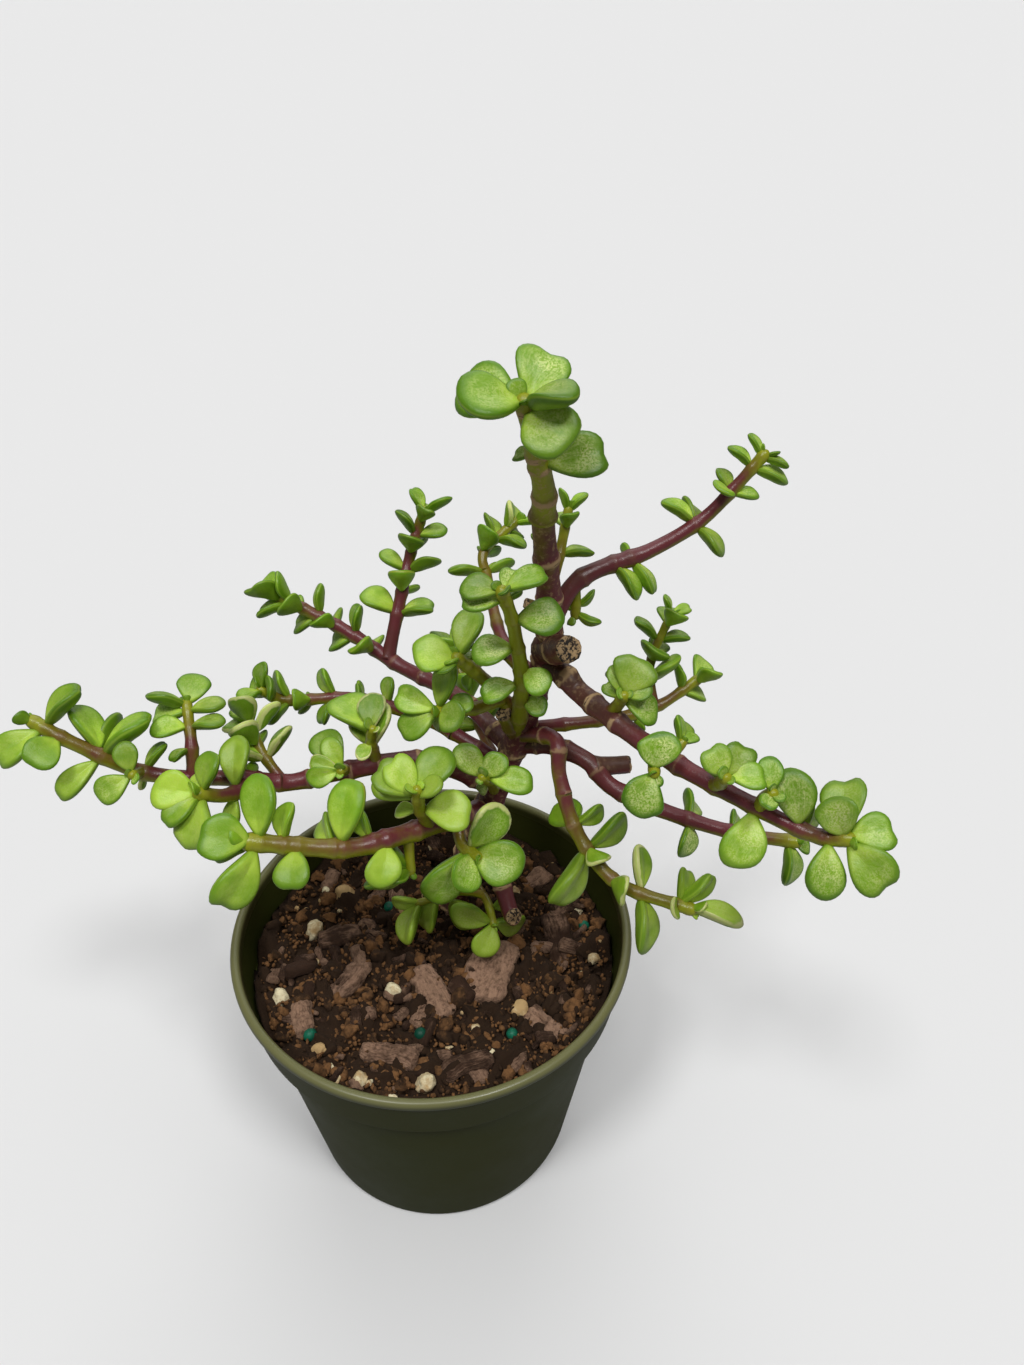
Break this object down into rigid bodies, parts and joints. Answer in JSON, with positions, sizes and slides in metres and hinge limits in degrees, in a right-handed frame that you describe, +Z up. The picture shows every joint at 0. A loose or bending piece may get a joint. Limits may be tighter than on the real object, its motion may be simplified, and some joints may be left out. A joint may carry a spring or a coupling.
{
  "type": "potted dwarf jade bonsai",
  "caption": "Small shrubby succulent with round fleshy leaves in opposite pairs on branching woody stems, standing in a round soil-filled plastic nursery pot.",
  "frame": {"origin": "centre of the pot's flat underside, on the surface that it stands on", "axes": "+Z up through the middle of the pot, +Y away from the viewer and +X to the viewer's right, with the low limb reaching towards +X and -Y"},
  "size_m": [0.1883, 0.1205, 0.2342],
  "materials": {
    "pot": "dark olive green moulded plastic with a soft sheen",
    "soil": "rough dark potting mix with bark chips and perlite",
    "trunk": "purple brown bark, satin, cracked tan at the nodes",
    "leafy_stem": "smooth fleshy green leaves with cream flecks and a soft shine, on purple to olive stems"
  },
  "bodies": {
    "root": {"pot": "pot", "soil": "soil", "trunk": "trunk", "leader": "leafy_stem", "front_top": "leafy_stem", "right_limb": "leafy_stem", "right_limb_rosette": "leafy_stem", "right_limb_crown": "leafy_stem", "right_lower": "leafy_stem", "front_right": "leafy_stem", "back_right": "leafy_stem", "leader_back": "leafy_stem", "right_back": "leafy_stem", "right_back_shoot": "leafy_stem", "far_left": "leafy_stem", "far_left_crown": "leafy_stem", "far_left_front": "leafy_stem", "left_middle": "leafy_stem", "left_crown": "leafy_stem", "left_low": "leafy_stem", "left_upper": "leafy_stem", "back_left": "leafy_stem", "back_top": "leafy_stem", "back_middle": "leafy_stem", "back_low": "leafy_stem", "left_front_top": "leafy_stem", "left_front": "leafy_stem", "centre_front": "leafy_stem", "centre_back": "leafy_stem", "front_low": "leafy_stem", "soil_shoot": "leafy_stem"}
  },
  "joints": []
}
